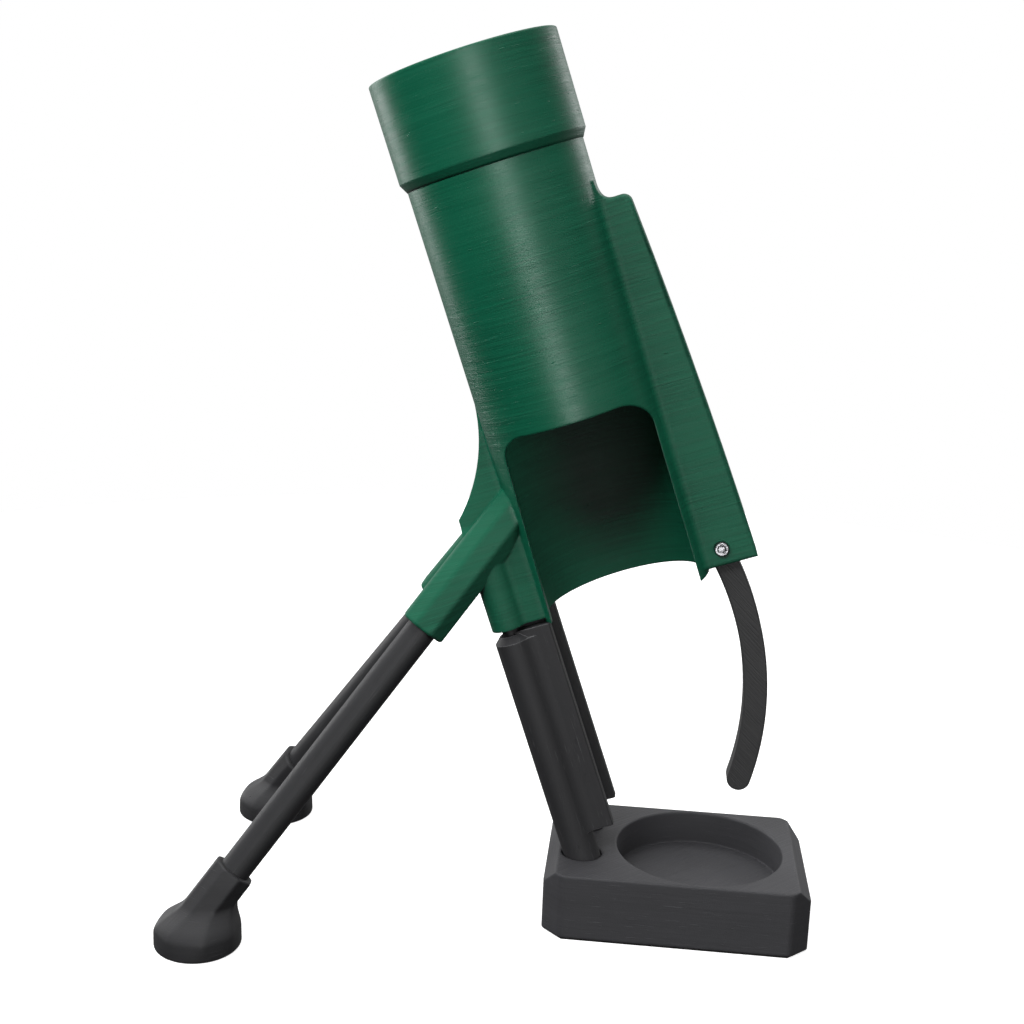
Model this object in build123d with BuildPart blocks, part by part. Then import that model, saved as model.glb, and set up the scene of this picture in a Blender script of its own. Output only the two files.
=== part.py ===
from build123d import *
import os
from math import cos, radians, sin, tan

# A leaning ball-feeding barrel on a bipod and a weighted base tray with a ball cup.
# The barrel, the leg sockets, the post hub and the lever housing are one printed body.
# Millimetres. The origin is on the ground under the middle of the object, +Z is up,
# +X runs from the feet to the cup, and the barrel's axis lies in the plane Y = 0.

# ---------------------------------------------------------------- driving dimensions
# Barrel
tilt = 19.4                    # degrees that the barrel leans back from vertical
bore_radius = 40.5             # a 73 to 75 mm ball drops through with room to spare
barrel_wall = 3.0
barrel_length = 239.6          # printed barrel, from the lower mouth to its top end
mouth_height = 170.1           # centre of the lower mouth above the ground
aim_height = 40.7              # height at which the barrel's axis crosses the cup's axis

# Muzzle collar, a ring that slips over the barrel's top end
collar_length = 51.5
collar_seat = 22.0             # length of barrel inside the collar
collar_wall = 2.5
collar_chamfer_length = 4.4
collar_rim_round = 0.6

# Window in the near side of the barrel, open at the lower mouth
window_height = 95.0
window_left_top = -33.0
window_left_bottom = -36.8
window_right = 38.7
window_left_round = 12.0
window_right_round = 14.0

# Lever housing on the barrel's front
housing_bottom = 2.0
housing_top = 187.0
housing_ramp_top = 197.0       # where the ramp above the housing meets the barrel
housing_half_width = 11.0
housing_reach = 68.2           # from the barrel's axis to the outer edge at the lower mouth
housing_taper = 0.0279         # how fast the outer edge draws in with height
housing_bow = 0.00017          # and how much faster it does so further up
housing_corner_round = 4.5
housing_ramp_run = 6.0         # from the barrel's wall to the foot of the ramp
housing_edge_round = 1.8
housing_fillet = 5.0           # between the housing's cheeks and the barrel
cheek_wall = 4.0
web_wall = 3.0
channel_top = 150.0
slot_half_width = 4.0          # slot in the barrel wall that the gate finger swings through
slot_bottom = 54.0             # low enough for the arm to swing through as well
slot_top = 130.0

# Release lever
pivot_reach = 52.3
pivot_height = 10.6
hub_radius = 6.2
handle_half_thickness = 5.5
handle_width = 11.8
handle_curve_radius = 150.9
handle_curve_reach = -96.3     # centre of the handle's curve
handle_curve_height = -23.8
handle_end_angle = -34.7
handle_start_angle = 11.0
handle_edge_round = 1.0
arm_top = 125.0
arm_depth = 6.0
arm_half_thickness = 3.0
stop_gap = 0.4                 # between the arm and the housing's web at rest
finger_height = 118.0
finger_size = 8.0
finger_tip_reach = 42.0        # inside the barrel's wall at rest
finger_tip_round = 2.0

# Return spring between the barrel and the lever's arm
spring_height = 40.0
spring_radius = 2.6
spring_wire_radius = 0.25
spring_turns = 3
spring_gap = 0.2
peg_radius = 1.8
peg_length = 1.6

# Pivot hardware: M4 socket-head screw, locknut, spacer sleeve and two washers
m4_radius = 2.0
m4_head_radius = 3.5
m4_head_height = 4.0
m4_head_round = 0.6
m4_tip = 0.6                   # thread beyond the nut
m4_nut_flats = 7.0
m4_nut_height = 3.2
m4_recess_depth = 2.2          # head and nut sit this deep in the cheeks
m4_key_flats = 3.0
m4_key_depth = 2.2
sleeve_radius = 3.0
washer_radius = 6.0
washer_thickness = 1.2

# M3 countersunk screw that holds the gate finger
m3_radius = 1.5
m3_head_radius = 2.8
m3_length = 12.0
m3_head_height = 1.3
m3_head_sink = 0.6             # below the arm's outer face
m3_key_flats = 2.0
m3_key_depth = 0.9

# Hub under the barrel that the two posts plug into
hub_reach = 58.7               # from the barrel's axis to the posts' axes
hub_bottom = 2.5
hub_round = 8.5
hub_wall_top = 60.0            # top of the hub's straight wall
hub_flare_top = 113.0          # where the flare dies into the barrel
hub_skirt_top = 36.0           # below this the hub is as wide as both posts
hub_waist_height = 56.0        # above this the flare is a narrow rib
hub_waist_half_width = 13.0
hub_rib_half_width = 3.0       # at the flare's very top
hub_web_half_width = 19.5      # between the round hub walls and the barrel
hub_web_round = 4.0            # hollow corner between the web and the round walls
hub_flare_run = 15.4           # a point on the flare's curve, from the top of the straight wall
hub_flare_rise = 21.0

# Posts: round rods with a flat flange towards the barrel's axis
post_spacing = 34.0            # between the posts' axes
post_radius = 9.0
post_top_gap = 3.9             # daylight between the hub and the post's top
post_top_bevel = 3.2
flange_end_reach = 38.2
flange_thickness = 7.0
flange_root_round = 9.0        # hollow blend between the flange and its round post
flange_top = -0.3
flange_bottom = -111.0
flange_edge_round = 1.1
stud_radius = 4.0
stud_depth = 18.0              # length of each stud inside its post and inside the hub

# Base block with the ball cup
base_width = 89.5
base_height = 34.65            # with the pad
base_margin = 18.0             # from the post holes to the base's rear end
cup_margin = 12.2              # from the cup's rim to the base's front end
cup_to_foot = 243.65           # from the cup's centre to the feet's centres, along X
cup_radius = 42.6
cup_depth = 17.5
cup_rim_round = 0.8
base_corner = 9.5
base_corner_round = 5.0
bevel_run = 6.5
bevel_drop = 8.0
base_edge_round = 0.7
pad_thickness = 1.2
pad_inset = 1.0
post_seat_height = 14.2        # height of the post's lower end, on its axis
post_floor = 6.0               # base material under the post's end, along its axis

# Base screws: M5 socket-head screws into brass inserts in the posts
m5_radius = 2.5
m5_head_radius = 4.25
m5_head_height = 5.0
m5_key_flats = 4.0
m5_key_depth = 2.5
m5_recess_radius = 4.7
insert_radius = 3.2
insert_length = 9.5
m5_tip = 3.0                   # thread beyond the insert

# Bipod
foot_half_spacing = 77.5
foot_radius = 21.3
foot_skirt = 10.0
foot_lower_round = 1.6
foot_upper_round = 1.2
foot_pivot_height = 13.2       # where the rod's axis crosses the foot's centre line
sleeve_flats = 19.6            # across the foot's octagonal sleeve
sleeve_start = 10.5            # distances along the rod from the foot's pivot point
sleeve_end = 29.7
rod_start = 2.0
rod_radius = 7.7
aim_reach = -50.4              # point inside the hub that the rod's axis passes through
aim_side = 13.9
aim_rise = 49.4
socket_flats = 22.8            # across the octagonal socket
socket_length = 60.0           # from the aim point down to the socket's mouth
socket_overrun = 32.0
socket_edge_round = 1.6
socket_corner_round = 3.5
rod_stop = 15.0                # the rod ends this far below the aim point

# Clearances, all radial or face to face
slip = 0.1
screw_clearance = 0.05
running_clearance = 0.05
rod_clearance = 0.15
post_clearance = 0.75          # round the posts where they enter the base
hole_clearance = 0.2           # round screws and screw heads
overrun = 5.0                  # how far a cutting shape runs past a face

# ---------------------------------------------------------------- derived sizes and frames
lean = radians(tilt)
barrel_radius = bore_radius + barrel_wall
collar_start = barrel_length - collar_seat
collar_end = collar_start + collar_length
collar_radius = barrel_radius + slip + collar_wall
channel_half_width = housing_half_width - cheek_wall
post_top = hub_bottom - post_top_gap

overall_length = foot_radius + cup_to_foot + cup_radius + cup_margin
cup_x = overall_length / 2 - cup_margin - cup_radius
foot_x = cup_x - cup_to_foot
base_front = cup_x + cup_radius + cup_margin
mouth_x = cup_x - (mouth_height - aim_height) * tan(lean)

across = Vector(cos(lean), 0, sin(lean))      # barrel's radial direction towards the housing
along = Vector(-sin(lean), 0, cos(lean))      # up the barrel's axis
mouth = Vector(mouth_x, 0, mouth_height)
barrel_plane = Plane(origin=mouth, x_dir=across, z_dir=along)
side_plane = Plane(origin=mouth, x_dir=across, z_dir=(0, -1, 0))     # x = reach, y = height
front_plane = Plane(origin=mouth, x_dir=(0, 1, 0), z_dir=across)     # x = width, y = height

near, far = -1, 1                             # the near side is -Y


def barrel_point(reach, side, height):
    """The point at a reach from the barrel's axis, a sideways offset and a height."""
    return mouth + across * reach + Vector(0, side, 0) + along * height


def barrel_height_at(reach, z):
    """The height along the barrel at which a parallel line meets the level z."""
    return (z - barrel_point(reach, 0, 0).Z) / cos(lean)


def housing_edge(height):
    """Reach of the housing's outer edge at a height."""
    return housing_reach - housing_taper * height - housing_bow * height * height


post_seat = barrel_height_at(-hub_reach, post_seat_height)
post_hole_x = barrel_point(-hub_reach, 0, barrel_height_at(-hub_reach, base_height)).X
base_rear = post_hole_x - base_margin
base_length = base_front - base_rear
base_x = (base_front + base_rear) / 2

arm_reach = housing_edge(arm_top) - web_wall - stop_gap - arm_depth / 2
arm_slope = (arm_reach - pivot_reach) / (arm_top - pivot_height)


def arm_inner(height):
    """Reach of the arm's barrel-side face at a height."""
    return pivot_reach + arm_slope * (height - pivot_height) - arm_depth / 2


def post_plane(side, height):
    """Plane across a post, local x towards the housing."""
    origin = barrel_point(-hub_reach, side * post_spacing / 2, height)
    return Plane(origin=origin, x_dir=across, z_dir=along)


def rod_plane(side, distance):
    """Plane across a bipod rod, its x towards the side, at a distance from the foot's pivot."""
    pivot = Vector(foot_x, side * foot_half_spacing, foot_pivot_height)
    direction = (barrel_point(aim_reach, side * aim_side, aim_rise) - pivot).normalized()
    sideways = Vector(0, side, 0)
    sideways = (sideways - direction * sideways.dot(direction)).normalized()
    return Plane(origin=pivot + direction * distance, x_dir=sideways, z_dir=direction)


def rod_reach(side):
    """Distance along a bipod rod from the foot's pivot to the aim point."""
    pivot = Vector(foot_x, side * foot_half_spacing, foot_pivot_height)
    return (barrel_point(aim_reach, side * aim_side, aim_rise) - pivot).length


def pivot_plane(distance):
    """Plane across the lever's pivot axis, at a distance towards the near side."""
    origin = barrel_point(pivot_reach, -distance, pivot_height)
    return Plane(origin=origin, x_dir=across, z_dir=(0, -1, 0))


def finish(piece, name):
    """Label a piece and write it to its file."""
    piece.part.label = name
    export_step(piece.part, f"parts/{name}.step")


os.makedirs("parts", exist_ok=True)

# ---------------------------------------------------------------- forms that make up the barrel
# Lever housing: the barrel's circle and a filleted lug, cut to the housing's side outline.
lug_length = 2 * housing_reach
lug_root = bore_radius - 12
with BuildPart() as housing_form:
    with BuildSketch(barrel_plane.offset(housing_bottom)):
        Circle(barrel_radius)
        with Locations((housing_reach, 0)):
            Rectangle(lug_length, 2 * housing_half_width)
        seams = vertices().filter_by(lambda v: abs(v.Y) > housing_half_width - 0.1 and 1 < v.X < barrel_radius)
        fillet(seams, radius=housing_fillet)
    extrude(amount=housing_ramp_top - housing_bottom + overrun)
    with BuildSketch(side_plane):
        with BuildLine():
            top_corner = (housing_edge(housing_top - housing_corner_round), housing_top - housing_corner_round)
            ThreePointArc(
                (housing_edge(housing_bottom), housing_bottom),
                (housing_edge(housing_top / 2), housing_top / 2),
                top_corner,
            )
            top_edge = (top_corner[0] - housing_corner_round, housing_top)
            RadiusArc(top_corner, top_edge, -housing_corner_round)
            ramp_foot = (barrel_radius + housing_ramp_run, housing_top)
            Line(top_edge, ramp_foot)
            ramp_end = (barrel_radius - barrel_wall / 6, housing_ramp_top)
            Spline(ramp_foot, ramp_end, tangents=[(-1, 0), (0, 1)])
            Polyline(
                ramp_end,
                (lug_root, housing_ramp_top),
                (lug_root, housing_bottom),
                (housing_edge(housing_bottom), housing_bottom),
            )
        make_face()
    extrude(amount=2 * barrel_radius, both=True, mode=Mode.INTERSECT)
    cheek_edges = edges().filter_by(lambda e: abs(abs(e.center().Y) - housing_half_width) < 0.01)
    outer_edge = cheek_edges.filter_by(lambda e: (e.center() - mouth).dot(across) > housing_edge(housing_top) - 8)
    outer_edge = outer_edge.filter_by(lambda e: e.length > housing_corner_round)
    fillet(outer_edge, radius=housing_edge_round)

# Lever channel inside the housing, bounded by the barrel's outside and the housing's web.
with BuildPart() as channel_form:
    with BuildSketch(barrel_plane.offset(-overrun)):
        with Locations((housing_reach, 0)):
            Rectangle(lug_length, 2 * channel_half_width)
        Circle(barrel_radius, mode=Mode.SUBTRACT)
    extrude(amount=channel_top + overrun)
    with BuildSketch(side_plane):
        with BuildLine():
            lower = (housing_edge(housing_bottom) - web_wall, -overrun)
            upper = (housing_edge(channel_top) - web_wall, channel_top)
            middle = (housing_edge(channel_top / 2) - web_wall, channel_top / 2)
            ThreePointArc(lower, middle, upper)
            channel_root = barrel_radius - overrun
            Polyline(upper, (channel_root, channel_top), (channel_root, -overrun), lower)
        make_face()
    extrude(amount=2 * channel_half_width, both=True, mode=Mode.INTERSECT)

# Hub: a lug across both posts with a flare above it that dies into the barrel.
with BuildPart() as hub_form:
    with BuildSketch(barrel_plane.offset(hub_bottom)):
        with Locations((-hub_reach, -post_spacing / 2), (-hub_reach, post_spacing / 2)):
            Circle(hub_round)
        hub_wall = -hub_reach - hub_round
        hub_root = -barrel_radius / 2
        with BuildLine():
            Polyline(
                (hub_wall, -post_spacing / 2),
                (-hub_reach, -hub_web_half_width),
                (hub_root, -hub_web_half_width),
                (hub_root, hub_web_half_width),
                (-hub_reach, hub_web_half_width),
                (hub_wall, post_spacing / 2),
                close=True,
            )
        make_face()
        hollows = vertices().filter_by(lambda v: abs(abs(v.Y) - hub_web_half_width) < 0.01 and v.X > -hub_reach)
        fillet(hollows.group_by(Axis.X)[0], radius=hub_web_round)
    extrude(amount=hub_flare_top - hub_bottom)
    with BuildSketch(side_plane.offset(-2 * barrel_radius)):
        with BuildLine():
            Polyline(
                (hub_wall - 1, hub_bottom - 1),
                (hub_wall - 1, hub_wall_top),
                (hub_wall, hub_wall_top),
            )
            ThreePointArc(
                (hub_wall, hub_wall_top),
                (hub_wall + hub_flare_run, hub_wall_top + hub_flare_rise),
                (-barrel_radius, hub_flare_top),
            )
            Polyline(
                (-barrel_radius, hub_flare_top),
                (hub_root - 1, hub_flare_top),
                (hub_root - 1, hub_bottom - 1),
                (hub_wall - 1, hub_bottom - 1),
            )
        make_face()
    extrude(amount=4 * barrel_radius, mode=Mode.INTERSECT)
    with BuildSketch(front_plane):
        with BuildLine():
            shoulder = post_spacing / 2 + hub_round + 1
            Polyline(
                (-shoulder, hub_bottom - 1),
                (shoulder, hub_bottom - 1),
                (shoulder, hub_skirt_top),
                (hub_waist_half_width, hub_waist_height),
                (hub_rib_half_width, hub_flare_top),
                (-hub_rib_half_width, hub_flare_top),
                (-hub_waist_half_width, hub_waist_height),
                (-shoulder, hub_skirt_top),
                close=True,
            )
        make_face()
    extrude(amount=-2 * barrel_radius, mode=Mode.INTERSECT)


def make_socket(side):
    """Octagonal socket for a bipod rod, rounded at its mouth."""
    with BuildPart() as socket:
        with BuildSketch(rod_plane(side, rod_reach(side) - socket_length)):
            RegularPolygon(socket_flats / 2, 8, major_radius=False, rotation=22.5)
        extrude(amount=socket_length + socket_overrun)
        long_edges = edges().filter_by(lambda e: e.length > socket_length)
        fillet(long_edges, radius=socket_corner_round)
        mouth_face = faces().sort_by(Axis.Z)[0]
        fillet(mouth_face.edges(), radius=socket_edge_round)
    return socket.part


# ---------------------------------------------------------------- launch barrel
with BuildPart() as launch_barrel:
    with BuildSketch(barrel_plane):
        Circle(barrel_radius)
    extrude(amount=barrel_length)
    add(housing_form.part)
    add(hub_form.part)
    for side in (near, far):
        add(make_socket(side))
    with BuildSketch(barrel_plane.offset(-overrun)):
        Circle(bore_radius)
    extrude(amount=barrel_length + 2 * overrun, mode=Mode.SUBTRACT)
    add(channel_form.part, mode=Mode.SUBTRACT)
    with BuildSketch(side_plane):
        with BuildLine():
            Polyline(
                (window_left_bottom, -overrun),
                (window_left_top, window_height),
                (window_right, window_height),
                (window_right, -overrun),
                close=True,
            )
        make_face()
        upper_corners = vertices().group_by(Axis.Y)[-1].sort_by(Axis.X)
        fillet(upper_corners[0], radius=window_left_round)
        upper_corners = vertices().filter_by(lambda v: v.X > window_right - 0.1).sort_by(Axis.Y)
        fillet(upper_corners[-1], radius=window_right_round)
    extrude(amount=2 * barrel_radius, mode=Mode.SUBTRACT)
    with BuildSketch(side_plane):
        with BuildLine():
            Polyline(
                (bore_radius - overrun, slot_bottom),
                (barrel_radius + 1, slot_bottom),
                (barrel_radius + 1, slot_top),
                (bore_radius - overrun, slot_top),
                close=True,
            )
        make_face()
    extrude(amount=slot_half_width, both=True, mode=Mode.SUBTRACT)
    for side in (near, far):
        with BuildSketch(rod_plane(side, rod_reach(side) - rod_stop)):
            Circle(rod_radius + rod_clearance)
        extrude(amount=-socket_length, mode=Mode.SUBTRACT)
        with BuildSketch(post_plane(side, hub_bottom - 1)):
            Circle(stud_radius + screw_clearance)
        extrude(amount=stud_depth + 1, mode=Mode.SUBTRACT)
    with BuildSketch(pivot_plane(-2 * housing_half_width)):
        Circle(m4_radius + screw_clearance)
    extrude(amount=4 * housing_half_width, mode=Mode.SUBTRACT)
    with BuildSketch(pivot_plane(housing_half_width - m4_recess_depth)):
        Circle(m4_head_radius + hole_clearance)
    extrude(amount=m4_recess_depth + 1, mode=Mode.SUBTRACT)
    with BuildSketch(pivot_plane(-housing_half_width + m4_recess_depth)):
        RegularPolygon(m4_nut_flats / 2 + screw_clearance, 6, major_radius=False)
    extrude(amount=-m4_recess_depth - 1, mode=Mode.SUBTRACT)
finish(launch_barrel, "launch_barrel")

# ---------------------------------------------------------------- muzzle collar
with BuildPart() as muzzle_collar:
    with BuildSketch(barrel_plane.offset(collar_start)):
        Circle(collar_radius)
        Circle(barrel_radius + slip, mode=Mode.SUBTRACT)
    extrude(amount=collar_seat + slip)
    with BuildSketch(barrel_plane.offset(barrel_length + slip)):
        Circle(collar_radius)
        Circle(bore_radius, mode=Mode.SUBTRACT)
    extrude(amount=collar_length - collar_seat - slip)
    lower_edge = edges().filter_by(GeomType.CIRCLE).sort_by(SortBy.RADIUS)[-2:]
    lower_edge = lower_edge.sort_by(lambda e: (e.center() - mouth).dot(along))[0]
    chamfer(lower_edge, length=collar_chamfer_length, length2=collar_wall - slip,
            reference=faces().filter_by(GeomType.CYLINDER).sort_by(SortBy.AREA)[-1])
    rim = faces().filter_by(GeomType.PLANE).sort_by(lambda f: (f.center() - mouth).dot(along))[-1]
    fillet(rim.edges(), radius=collar_rim_round)
finish(muzzle_collar, "muzzle_collar")


# ---------------------------------------------------------------- posts and their fixings
def make_post(side):
    with BuildPart() as post:
        with BuildSketch(post_plane(side, post_seat)):
            Circle(post_radius)
        extrude(amount=post_top - post_seat)
        top_face = faces().filter_by(GeomType.PLANE).sort_by(lambda f: f.center().Z)[-1]
        chamfer(top_face.edges(), length=post_top_bevel)
        flange_length = hub_reach - flange_end_reach
        with BuildSketch(post_plane(side, flange_bottom)):
            with Locations((flange_length / 2, 0)):
                Rectangle(flange_length, flange_thickness)
            ends = vertices().group_by(Axis.X)[-1]
            fillet(ends, radius=flange_edge_round)
            Circle(post_radius)
            roots = vertices().filter_by(lambda v: abs(abs(v.Y) - flange_thickness / 2) < 0.01)
            fillet(roots.group_by(Axis.X)[0], radius=flange_root_round)
        extrude(amount=post_top - post_top_bevel - flange_bottom)
        with BuildSketch(post_plane(side, flange_bottom)):
            with Locations((flange_length / 2, 0)):
                Rectangle(flange_length, flange_thickness)
            ends = vertices().group_by(Axis.X)[-1]
            fillet(ends, radius=flange_edge_round)
        extrude(amount=flange_top - flange_bottom)
        with BuildSketch(post_plane(side, post_top - stud_depth)):
            Circle(stud_radius + screw_clearance)
        extrude(amount=stud_depth + overrun, mode=Mode.SUBTRACT)
        with BuildSketch(post_plane(side, post_seat)):
            Circle(insert_radius + screw_clearance)
        extrude(amount=insert_length + screw_clearance, mode=Mode.SUBTRACT)
        with BuildSketch(post_plane(side, post_seat)):
            Circle(m5_radius + hole_clearance)
        extrude(amount=insert_length + m5_tip + overrun, mode=Mode.SUBTRACT)
    return post


finish(make_post(near), "post_near")
finish(make_post(far), "post_far")

with BuildPart() as post_studs:
    for side in (near, far):
        with BuildSketch(post_plane(side, post_top - stud_depth)):
            Circle(stud_radius)
        extrude(amount=2 * stud_depth + post_top_gap - slip)
finish(post_studs, "post_studs")

with BuildPart() as post_inserts:
    for side in (near, far):
        with BuildSketch(post_plane(side, post_seat)):
            Circle(insert_radius)
            Circle(m5_radius + screw_clearance, mode=Mode.SUBTRACT)
        extrude(amount=insert_length)
finish(post_inserts, "post_inserts")

with BuildPart() as base_screws:
    for side in (near, far):
        with BuildSketch(post_plane(side, post_seat - post_floor)):
            Circle(m5_radius)
        extrude(amount=post_floor + insert_length + m5_tip)
        with BuildSketch(post_plane(side, post_seat - post_floor)):
            Circle(m5_head_radius)
        extrude(amount=-m5_head_height)
        with BuildSketch(post_plane(side, post_seat - post_floor - m5_head_height)):
            RegularPolygon(m5_key_flats / 2, 6, major_radius=False)
        extrude(amount=m5_key_depth, mode=Mode.SUBTRACT)
finish(base_screws, "base_screws")

# ---------------------------------------------------------------- base block and pad
with BuildPart() as base_block:
    block_height = base_height - pad_thickness
    with BuildSketch(Plane.XY.offset(pad_thickness)):
        with Locations((base_x, 0)):
            Rectangle(base_length, base_width)
        chamfer(vertices(), length=base_corner)
        fillet(vertices(), radius=base_corner_round)
    extrude(amount=block_height)
    base_side = Plane(origin=(base_x, 0, 0), x_dir=(1, 0, 0), z_dir=(0, -1, 0))
    with BuildSketch(base_side):
        with BuildLine():
            half_length = base_length / 2
            Polyline(
                (-half_length, 0),
                (half_length, 0),
                (half_length, base_height - bevel_drop),
                (half_length - bevel_run, base_height),
                (-half_length + bevel_run, base_height),
                (-half_length, base_height - bevel_drop),
                close=True,
            )
        make_face()
    extrude(amount=base_width, both=True, mode=Mode.INTERSECT)
    top_face = faces().filter_by(Plane.XY).sort_by(Axis.Z)[-1]
    fillet(top_face.edges(), radius=base_edge_round)
    with BuildSketch(Plane.XY.offset(base_height)):
        with Locations((cup_x, 0)):
            Circle(cup_radius)
    extrude(amount=-cup_depth, mode=Mode.SUBTRACT)
    rim_edges = edges().filter_by(GeomType.CIRCLE).filter_by(lambda e: abs(e.center().Z - base_height) < 0.01)
    rim_edges = rim_edges.filter_by(lambda e: e.radius > cup_radius - 0.01)
    fillet(rim_edges, radius=cup_rim_round)
    for side in (near, far):
        with BuildSketch(post_plane(side, post_seat)):
            Circle(post_radius + post_clearance)
        extrude(amount=4 * base_height, mode=Mode.SUBTRACT)
        with BuildSketch(post_plane(side, post_seat - post_floor)):
            Circle(m5_radius + hole_clearance)
        extrude(amount=post_floor + 1, mode=Mode.SUBTRACT)
        with BuildSketch(post_plane(side, post_seat - post_floor)):
            Circle(m5_recess_radius)
        extrude(amount=-base_height, mode=Mode.SUBTRACT)
finish(base_block, "base_block")

with BuildPart() as base_pad:
    with BuildSketch(Plane.XY):
        with Locations((base_x, 0)):
            Rectangle(base_length - 2 * pad_inset, base_width - 2 * pad_inset)
        chamfer(vertices(), length=base_corner)
    extrude(amount=pad_thickness)
finish(base_pad, "base_pad")


# ---------------------------------------------------------------- bipod rods and feet
def make_rod(side):
    with BuildPart() as rod:
        with BuildSketch(rod_plane(side, rod_start)):
            Circle(rod_radius)
        extrude(amount=rod_reach(side) - rod_stop - slip - rod_start)
    return rod


def make_foot(side):
    with BuildPart() as foot:
        with BuildSketch(Plane.XY):
            with Locations((foot_x, side * foot_half_spacing)):
                Circle(foot_radius)
        extrude(amount=foot_skirt)
        fillet(edges().group_by(Axis.Z)[0], radius=foot_lower_round)
        fillet(edges().group_by(Axis.Z)[-1], radius=foot_upper_round)
        with BuildSketch(Plane.XY.offset(foot_skirt - 1.0)):
            with Locations((foot_x, side * foot_half_spacing)):
                Circle(foot_radius - 1.5 * foot_upper_round)
        with BuildSketch(rod_plane(side, sleeve_start)):
            RegularPolygon(sleeve_flats / 2, 8, major_radius=False, rotation=22.5)
        loft(ruled=True)
        with BuildSketch(rod_plane(side, sleeve_start)):
            RegularPolygon(sleeve_flats / 2, 8, major_radius=False, rotation=22.5)
        extrude(amount=sleeve_end - sleeve_start)
        with BuildSketch(rod_plane(side, rod_start)):
            Circle(rod_radius + rod_clearance)
        extrude(amount=2 * sleeve_end, mode=Mode.SUBTRACT)
    return foot


finish(make_rod(near), "leg_rod_near")
finish(make_rod(far), "leg_rod_far")
finish(make_foot(near), "foot_near")
finish(make_foot(far), "foot_far")

# ---------------------------------------------------------------- release lever
with BuildPart() as release_lever:
    with BuildSketch(side_plane):
        with BuildLine(mode=Mode.PRIVATE):
            handle_line = CenterArc(
                (handle_curve_reach, handle_curve_height),
                handle_curve_radius,
                handle_end_angle,
                handle_start_angle - handle_end_angle,
            )
        SlotArc(handle_line, handle_width)
    extrude(amount=handle_half_thickness, both=True)
    outer_faces = faces().filter_by(Plane.XZ)
    fillet(outer_faces.edges(), radius=handle_edge_round)
    with BuildSketch(side_plane):
        with Locations((pivot_reach, pivot_height)):
            Circle(hub_radius)
    extrude(amount=handle_half_thickness, both=True)
    with BuildSketch(side_plane):
        with BuildLine():
            Polyline(
                (pivot_reach - arm_depth / 2, pivot_height),
                (arm_inner(arm_top), arm_top),
                (arm_inner(arm_top) + arm_depth, arm_top),
                (pivot_reach + arm_depth / 2, pivot_height),
                close=True,
            )
        make_face()
    extrude(amount=arm_half_thickness, both=True)
    peg_plane = Plane(
        origin=barrel_point(arm_inner(spring_height) + 1, 0, spring_height),
        x_dir=(0, 1, 0),
        z_dir=-across,
    )
    with BuildSketch(peg_plane):
        Circle(peg_radius)
    extrude(amount=peg_length + 1)
    with BuildSketch(pivot_plane(-2 * handle_half_thickness)):
        Circle(sleeve_radius + running_clearance)
    extrude(amount=4 * handle_half_thickness, mode=Mode.SUBTRACT)
    screw_axis = Plane(
        origin=barrel_point(arm_inner(finger_height) + arm_depth, 0, finger_height),
        x_dir=(0, 1, 0),
        z_dir=-across,
    )
    with BuildSketch(screw_axis.offset(-1)):
        Circle(m3_radius + screw_clearance)
    extrude(amount=arm_depth + 3, mode=Mode.SUBTRACT)
    with BuildSketch(screw_axis.offset(-1)):
        Circle(m3_head_radius + screw_clearance)
    extrude(amount=1 + m3_head_sink + m3_head_height, mode=Mode.SUBTRACT)
finish(release_lever, "release_lever")

# ---------------------------------------------------------------- gate finger and its screw
with BuildPart() as gate_finger:
    with BuildSketch(side_plane):
        low = finger_height - finger_size / 2
        high = finger_height + finger_size / 2
        with BuildLine():
            Polyline(
                (arm_inner(low) - slip, low),
                (arm_inner(high) - slip, high),
                (finger_tip_reach, high),
                (finger_tip_reach, low),
                close=True,
            )
        make_face()
        fillet(vertices().filter_by(lambda v: v.X < finger_tip_reach + 0.1), radius=finger_tip_round)
    extrude(amount=arm_half_thickness, both=True)
    with BuildSketch(screw_axis):
        Circle(m3_radius + screw_clearance)
    extrude(amount=m3_length + 1, mode=Mode.SUBTRACT)
finish(gate_finger, "gate_finger")

with BuildPart() as gate_screw:
    with BuildSketch(screw_axis.offset(m3_head_sink)):
        Circle(m3_head_radius)
    extrude(amount=m3_head_height)
    with BuildSketch(screw_axis.offset(m3_head_sink)):
        Circle(m3_radius)
    extrude(amount=m3_length)
    with BuildSketch(screw_axis.offset(m3_head_sink)):
        RegularPolygon(m3_key_flats / 2, 6, major_radius=False)
    extrude(amount=m3_key_depth, mode=Mode.SUBTRACT)
finish(gate_screw, "gate_screw")

# ---------------------------------------------------------------- pivot hardware
with BuildPart() as pivot_screw:
    head_seat = housing_half_width - m4_recess_depth
    with BuildSketch(pivot_plane(head_seat)):
        Circle(m4_head_radius)
    extrude(amount=m4_head_height)
    crown = faces().filter_by(Plane.XZ).sort_by(Axis.Y)[0]
    fillet(crown.edges(), radius=m4_head_round)
    with BuildSketch(pivot_plane(head_seat)):
        Circle(m4_radius)
    extrude(amount=-2 * head_seat - m4_nut_height - m4_tip)
    with BuildSketch(pivot_plane(head_seat + m4_head_height)):
        RegularPolygon(m4_key_flats / 2, 6, major_radius=False)
    extrude(amount=-m4_key_depth, mode=Mode.SUBTRACT)
finish(pivot_screw, "pivot_screw")

with BuildPart() as pivot_nut:
    with BuildSketch(pivot_plane(-head_seat)):
        RegularPolygon(m4_nut_flats / 2, 6, major_radius=False)
        Circle(m4_radius + screw_clearance, mode=Mode.SUBTRACT)
    extrude(amount=-m4_nut_height)
finish(pivot_nut, "pivot_nut")

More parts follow.
